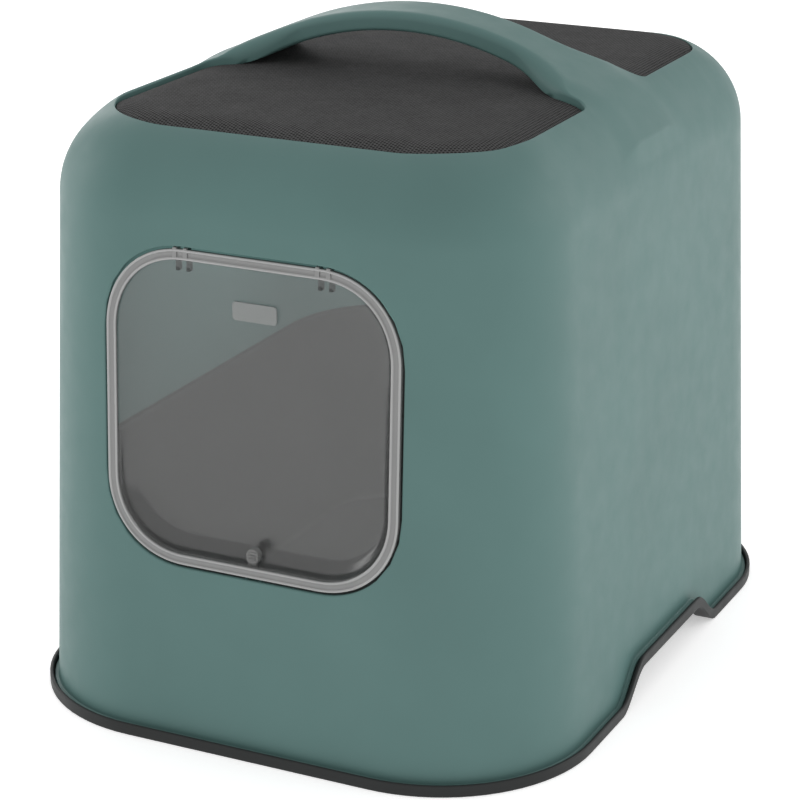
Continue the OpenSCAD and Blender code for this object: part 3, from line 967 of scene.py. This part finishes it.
class Nodes:
    """Short calls for building one material's node tree."""

    def __init__(self, name):
        self.material = bpy.data.materials.new(name)
        self.material.use_nodes = True
        self.tree = self.material.node_tree
        self.shader = self.tree.nodes["Principled BSDF"]
        self.place = self.tree.nodes.new("ShaderNodeTexCoord").outputs["Object"]

    def set(self, **values):
        """Sets the shader's own sockets; underscores stand for spaces."""
        for name, value in values.items():
            self.shader.inputs[name.replace("_", " ")].default_value = value

    def link(self, source, target):
        self.tree.links.new(source, target)

    def noise(self, scale, detail=3.0, roughness=0.55):
        """A noise pattern with about scale features per metre."""
        node = self.tree.nodes.new("ShaderNodeTexNoise")
        node.inputs["Scale"].default_value = scale
        node.inputs["Detail"].default_value = detail
        node.inputs["Roughness"].default_value = roughness
        self.link(self.place, node.inputs["Vector"])
        return node.outputs["Fac"]

    def spread(self, source, low, high, start=0.3, end=0.7):
        """Maps source from start..end to low..high."""
        node = self.tree.nodes.new("ShaderNodeMapRange")
        for name, value in (("From Min", start), ("From Max", end), ("To Min", low), ("To Max", high)):
            node.inputs[name].default_value = value
        self.link(source, node.inputs["Value"])
        return node.outputs["Result"]

    def colours(self, source, *stops):
        """A colour ramp through stops of (position, linear rgb)."""
        ramp = self.tree.nodes.new("ShaderNodeValToRGB")
        elements = ramp.color_ramp.elements
        while len(elements) < len(stops):
            elements.new(0.5)
        for element, (position, rgb) in zip(elements, stops):
            element.position = position
            element.color = (*rgb, 1.0)
        self.link(source, ramp.inputs["Fac"])
        return ramp.outputs["Color"]

    def base(self, source, *stops):
        """Colours the shader's base through stops."""
        self.link(self.colours(source, *stops), self.shader.inputs["Base Color"])

    def math(self, operation, a, b):
        node = self.tree.nodes.new("ShaderNodeMath")
        node.operation = operation
        for socket, value in zip(node.inputs, (a, b)):
            if isinstance(value, (int, float)):
                socket.default_value = value
            else:
                self.link(value, socket)
        return node.outputs["Value"]

    def vector(self, operation, a, b=None):
        node = self.tree.nodes.new("ShaderNodeVectorMath")
        node.operation = operation
        for socket, value in zip(node.inputs, (a, b)):
            if isinstance(value, tuple):
                socket.default_value = value
            elif value is not None:
                self.link(value, socket)
        return node.outputs["Value" if operation == "LENGTH" else "Vector"]

    def bump(self, height, strength, distance, under=None):
        """Adds a bump to the shader; under is an earlier bump that it lies on."""
        node = self.tree.nodes.new("ShaderNodeBump")
        node.inputs["Strength"].default_value = strength
        node.inputs["Distance"].default_value = distance
        self.link(height, node.inputs["Height"])
        if under is not None:
            self.link(under, node.inputs["Normal"])
        self.link(node.outputs["Normal"], self.shader.inputs["Normal"])
        return node.outputs["Normal"]


def shade(rgb, factor):
    """A colour made lighter or darker."""
    return tuple(c * factor for c in rgb)


def moulded(name, rgb, rough, grain, vary=0.05):
    """Injection-moulded plastic: faint flow marks in its colour and gloss, and a fine satin grain."""
    n = Nodes(name)
    flow = n.noise(9.0, 3.0)
    n.base(flow, (0.25, shade(rgb, 1 - vary)), (0.5, rgb), (0.75, shade(rgb, 1 + vary)))
    n.link(n.spread(n.noise(60.0, 4.0), rough - 0.04, rough + 0.05), n.shader.inputs["Roughness"])
    base = n.bump(n.noise(14.0, 2.0), 0.06, 0.002)
    n.bump(n.noise(1500.0, 2.0), grain, 0.00012, under=base)
    n.set(Specular_IOR_Level=0.25)
    return n.material


def honeycomb(name):
    """Matt black plastic with a fine hexagonal pattern of pits, the pits painted darker than the walls
    between them as painted shade.
    """
    n = Nodes(name)
    cell = (math.sqrt(3.0), 1.0, 1.0)
    flat = n.vector("MULTIPLY", n.place, (1.0 / HEX_PITCH, 1.0 / HEX_PITCH, 0.0))
    nearest = []
    for shift in ((0.0, 0.0, 0.0), (cell[0] / 2, 0.5, 0.0)):
        moved = n.vector("ADD", flat, shift)
        part = n.vector("FRACTION", n.vector("DIVIDE", moved, cell))
        centred = n.vector("MULTIPLY", n.vector("SUBTRACT", part, (0.5, 0.5, 0.0)), (cell[0], cell[1], 0.0))
        nearest.append(n.vector("LENGTH", centred))
    distance = n.math("MINIMUM", *nearest)
    wall = n.spread(distance, 0.0, 1.0, 0.2, 0.5)
    # Painted shade: the colour darkens towards each pit's sunken centre, with random noise mixed in
    pit_shade_mix = n.math("ADD", wall, n.spread(n.noise(420.0, 2.0), -0.18, 0.18))
    n.base(pit_shade_mix, (0.1, PANEL_PIT_SHADE), (0.8, PANEL_WALL))
    n.link(n.spread(n.noise(35.0, 3.0), 0.74, 0.86), n.shader.inputs["Roughness"])
    base = n.bump(wall, 0.6, 0.0005)
    n.bump(n.noise(1700.0, 2.0), 0.12, 0.0001, under=base)
    n.set(Specular_IOR_Level=0.1)
    return n.material


def clear(name, rgb, alpha, rough, ior=1.5):
    """Tinted see-through plastic, a little hazy and with faint moulding waves."""
    n = Nodes(name)
    n.base(n.noise(12.0, 3.0), (0.3, shade(rgb, 0.94)), (0.7, shade(rgb, 1.05)))
    n.link(n.spread(n.noise(40.0, 3.0), rough - 0.03, rough + 0.05), n.shader.inputs["Roughness"])
    n.bump(n.noise(25.0, 2.0), 0.05, 0.001)
    n.set(Alpha=alpha, IOR=ior)
    return n.material


def foam(name):
    """Open carbon foam, its pores painted darker than the cell walls as painted shade."""
    n = Nodes(name)
    cells = n.tree.nodes.new("ShaderNodeTexVoronoi")
    cells.inputs["Scale"].default_value = 420.0
    n.link(n.place, cells.inputs["Vector"])
    # Painted shade: darker towards each pore's sunken centre
    n.base(cells.outputs["Distance"], (0.1, FOAM_PORE_SHADE), (0.7, FOAM_LIGHT))
    n.bump(cells.outputs["Distance"], 0.8, 0.001)
    n.set(Roughness=0.95, Specular_IOR_Level=0.1)
    return n.material


def wire(name):
    """Drawn steel wire, with its fine lines along X."""
    n = Nodes(name)
    lines = n.tree.nodes.new("ShaderNodeTexNoise")
    lines.inputs["Scale"].default_value = 900.0
    n.link(n.vector("MULTIPLY", n.place, (0.03, 1.0, 1.0)), lines.inputs["Vector"])
    n.link(n.spread(lines.outputs["Fac"], 0.22, 0.4), n.shader.inputs["Roughness"])
    n.base(lines.outputs["Fac"], (0.3, STEEL_DARK), (0.7, STEEL_LIGHT))
    n.bump(lines.outputs["Fac"], 0.1, 0.0001)
    n.set(Metallic=1.0)
    return n.material


# ---------------------------------------------------------------- pieces on their bodies
green = moulded("Sage plastic", GREEN, 0.46, 0.16)
anthracite = moulded("Anthracite plastic", ANTHRACITE, 0.5, 0.2)
frame_clear = clear("Frosted grey plastic", FRAME_GREY, 0.88, 0.16, 1.9)
pane_clear = clear("Smoked clear plastic", SMOKE, 0.28, 0.22, 2.4)
# A lighter grey for the bead tops: a painted highlight
bead_highlight_clear = clear("Bead plastic with painted highlight", BEAD_HIGHLIGHT_GREY, 0.95, 0.12, 2.0)
dark_clear = clear("Dark smoked plastic", DARK_SMOKE, 0.6, 0.3)
latch_clear = clear("Slider plastic", LATCH_GREY, 0.6, 0.25)
plate_clear = clear("Blank plate plastic", PLATE_GREY, 0.6, 0.35)

SECOND = {make_frame: bead_highlight_clear, make_window: dark_clear}
PIECES = [
    (make_tray, "tray", "litter_tray", "tray_anthracite", anthracite),
    (make_hood, "hood", "hood_shell", "hood_green", green),
    (make_panel, "hood", "top_panel", "panel_black", honeycomb("Honeycomb black plastic")),
    (make_frame, "flap", "flap_frame", "frame_grey", frame_clear),
    (make_window, "flap", "flap_window", "window_smoke", pane_clear),
    (make_badge, "flap", "badge_plate", "frame_grey", plate_clear),
    (make_latch, "latch", "flap_latch", "frame_grey", latch_clear),
]
for make, body, node, slot, material in PIECES:
    piece = make()
    piece.data.materials.append(material)
    if make in SECOND:
        piece.data.materials.append(SECOND[make])
    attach(piece, body)
    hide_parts(node)

steel = wire("Drawn steel")
carbon = foam("Carbon foam")
for node, material in (("filter_pad", carbon), ("hinge_pin_left", steel), ("hinge_pin_right", steel)):
    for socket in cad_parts[node].material_slots:
        socket.material = material


# ---------------------------------------------------------------- studio
FLOOR_HALF = 6.0
FLOOR_GLOW = 0.44
SKY_LOOK = 1.0
SKY_LIGHT = 0.84
SOFTBOX_SIZE = 1.8
SOFTBOX_AIM = (0.0, 0.0, 0.25)
SOFTBOXES = [
    ("right softbox", (2.6, 0.9, 1.1), 9.4),
    ("right back softbox", (1.9, 1.9, 1.2), 8.0),
    ("left softbox", (-2.7, -0.3, 0.9), 14.6),
    ("left back softbox", (-1.9, 1.9, 1.2), 10.0),
]


def aim(obj, place, target):
    """Puts an object in the scene at place, facing target."""
    obj.location = place
    obj.rotation_mode = "QUATERNION"
    obj.rotation_quaternion = (Vector(target) - Vector(place)).to_track_quat("-Z", "Y")
    bpy.context.scene.collection.objects.link(obj)


def make_floor():
    """A wide pale floor that keeps itself near white under the object's soft shadow."""
    corners = [(x * FLOOR_HALF, y * FLOOR_HALF, 0.0) for x, y in ((-1, -1), (1, -1), (1, 1), (-1, 1))]
    mesh = bpy.data.meshes.new("floor")
    mesh.from_pydata(corners, [], [(0, 1, 2, 3)])
    floor = bpy.data.objects.new("floor", mesh)
    bpy.context.scene.collection.objects.link(floor)
    n = Nodes("Pale floor")
    n.base(n.noise(2.0), (0.3, (0.86, 0.86, 0.86)), (0.7, (0.9, 0.9, 0.9)))
    n.set(Roughness=0.9, Specular_IOR_Level=0.1)
    n.set(Emission_Color=(1.0, 1.0, 1.0, 1.0), Emission_Strength=FLOOR_GLOW)
    mesh.materials.append(n.material)


def make_light(name, place, target, size, energy):
    """A round soft light."""
    lamp = bpy.data.lights.new(name, "AREA")
    lamp.shape = "DISK"
    lamp.size = size
    lamp.energy = energy
    aim(bpy.data.objects.new(name, lamp), place, target)


camera = bpy.data.cameras.new("camera")
camera.lens = 120.1
camera.sensor_width = 36.0
camera.clip_end = 50.0
camera_at = bpy.data.objects.new("camera", camera)
aim(camera_at, (0.7609, -1.5923, 0.7879), (-0.0128, 0.0, 0.1629))
bpy.context.scene.camera = camera_at

make_floor()
for name, place, energy in SOFTBOXES:
    make_light(name, place, SOFTBOX_AIM, SOFTBOX_SIZE, energy)
make_light("cabin fill", (0.09, 0.0, 0.33), (-0.1, 0.16, 0.18), 0.14, 0.9)

world = bpy.data.worlds.new("studio")
bpy.context.scene.world = world
world.use_nodes = True
sky = world.node_tree
sky.nodes.clear()
rays = sky.nodes.new("ShaderNodeLightPath")
strength = sky.nodes.new("ShaderNodeMapRange")
strength.inputs["To Min"].default_value = SKY_LIGHT
strength.inputs["To Max"].default_value = SKY_LOOK
background = sky.nodes.new("ShaderNodeBackground")
background.inputs["Color"].default_value = (1.0, 1.0, 1.0, 1.0)
output = sky.nodes.new("ShaderNodeOutputWorld")
sky.links.new(rays.outputs["Is Camera Ray"], strength.inputs["Value"])
sky.links.new(strength.outputs["Result"], background.inputs["Strength"])
sky.links.new(background.outputs["Background"], output.inputs["Surface"])
bpy.context.scene.view_settings.view_transform = "Standard"
